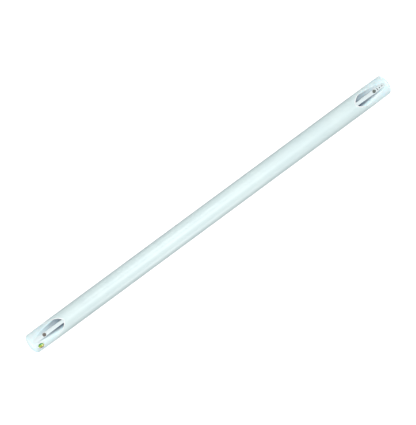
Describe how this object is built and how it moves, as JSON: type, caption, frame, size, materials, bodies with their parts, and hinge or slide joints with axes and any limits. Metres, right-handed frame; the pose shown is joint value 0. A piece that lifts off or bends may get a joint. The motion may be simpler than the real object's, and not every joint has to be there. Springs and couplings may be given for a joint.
{
  "type": "electronic white cane",
  "caption": "Straight white cane with a thumb scoop, spine and push button in each end, and a small camera lens beside the head's scoop.",
  "frame": {"origin": "middle of the cane, on the barrel's axis", "axes": "+X along the barrel from the head (camera) end to the grip end, +Z out of the spines, +Y to the left seen from the head end with the spines up"},
  "size_m": [0.624, 0.03, 0.03],
  "materials": {
    "white_tube": "drawn aluminium tube with a satin white powder coat",
    "frosted_nose": "frosted, slightly translucent pale blue-white plastic",
    "white_seal": "bright white elastomer",
    "white_spine": "satin moulded plastic",
    "brown_grey_button": "matt brownish grey",
    "green_grey_button": "matt greenish grey",
    "dark_window": "smoked light pipe",
    "white_bezel": "gloss moulded plastic",
    "coated_lens": "coated glass with a green and amber sheen",
    "black_barrel": "matt black",
    "chip_black": "moulded epoxy",
    "green_board": "solder mask over glass fibre",
    "amber_ribbon": "polyimide film",
    "switch_grey": "moulded nylon",
    "plunger_black": "moulded nylon",
    "spring_steel": "bright rolled",
    "ivory_plastic": "moulded nylon",
    "black_rubber": "smooth",
    "plated_steel": "nickel plated",
    "cell_can": "nickel-plated can",
    "grey_rail": "moulded, fine texture",
    "blue_wrap": "shrink sleeve",
    "weight_metal": "sintered heavy metal",
    "red_lead": "insulated wire",
    "black_lead": "insulated wire"
  },
  "bodies": {
    "cane": {"barrel_tube": "white_tube", "head_nose": "frosted_nose", "grip_nose": "frosted_nose", "head_seal": "white_seal", "grip_seal": "white_seal", "head_spine": "white_spine", "grip_spine": "white_spine", "indicator_windows": "dark_window", "lens_bezel": "white_bezel", "front_lens": "coated_lens", "lens_barrel": "black_barrel", "image_sensor": "chip_black", "camera_board": "green_board", "camera_flex": "amber_ribbon", "head_board": "green_board", "head_switch": "switch_grey", "head_switch_dome": "spring_steel", "grip_board": "green_board", "power_switch": "switch_grey", "power_switch_dome": "spring_steel", "status_leds": "ivory_plastic", "head_o_ring": "black_rubber", "grip_o_ring": "black_rubber", "head_screws": "plated_steel", "grip_screws": "plated_steel", "chassis_rail": "grey_rail", "front_cell": "cell_can", "rear_cell": "cell_can", "front_cell_wrap": "blue_wrap", "rear_cell_wrap": "blue_wrap", "battery_stops": "grey_rail", "battery_spring": "spring_steel", "battery_plate": "spring_steel", "main_board": "green_board", "processor_chip": "chip_black", "small_chips": "chip_black", "board_connectors": "ivory_plastic", "board_screws": "plated_steel", "motor_can": "plated_steel", "motor_saddle": "grey_rail", "head_ribbon": "amber_ribbon", "grip_ribbon": "amber_ribbon", "positive_lead": "red_lead", "negative_lead": "black_lead"},
    "head_button": {"head_button": "brown_grey_button", "head_switch_plunger": "plunger_black"},
    "power_button": {"power_button": "green_grey_button", "power_switch_plunger": "plunger_black"},
    "vibration_weight": {"motor_rotor": "weight_metal"}
  },
  "joints": [
    {"name": "head_button_press", "type": "slide", "parent": "cane", "child": "head_button", "axis": [0, 0, -1], "range_m": [0, 0.0006], "stiffness_N_per_m": 1500, "springref_m": -0.0003, "deforming": ["head_switch_dome"]},
    {"name": "power_button_press", "type": "slide", "parent": "cane", "child": "power_button", "axis": [0, 0, -1], "range_m": [0, 0.0006], "stiffness_N_per_m": 1500, "springref_m": -0.0003, "deforming": ["power_switch_dome"]},
    {"name": "vibration_weight_spin", "type": "hinge", "parent": "cane", "child": "vibration_weight", "pos_m": [0.2137, 0, -0.006], "axis": [1, 0, 0], "continuous": true}
  ]
}
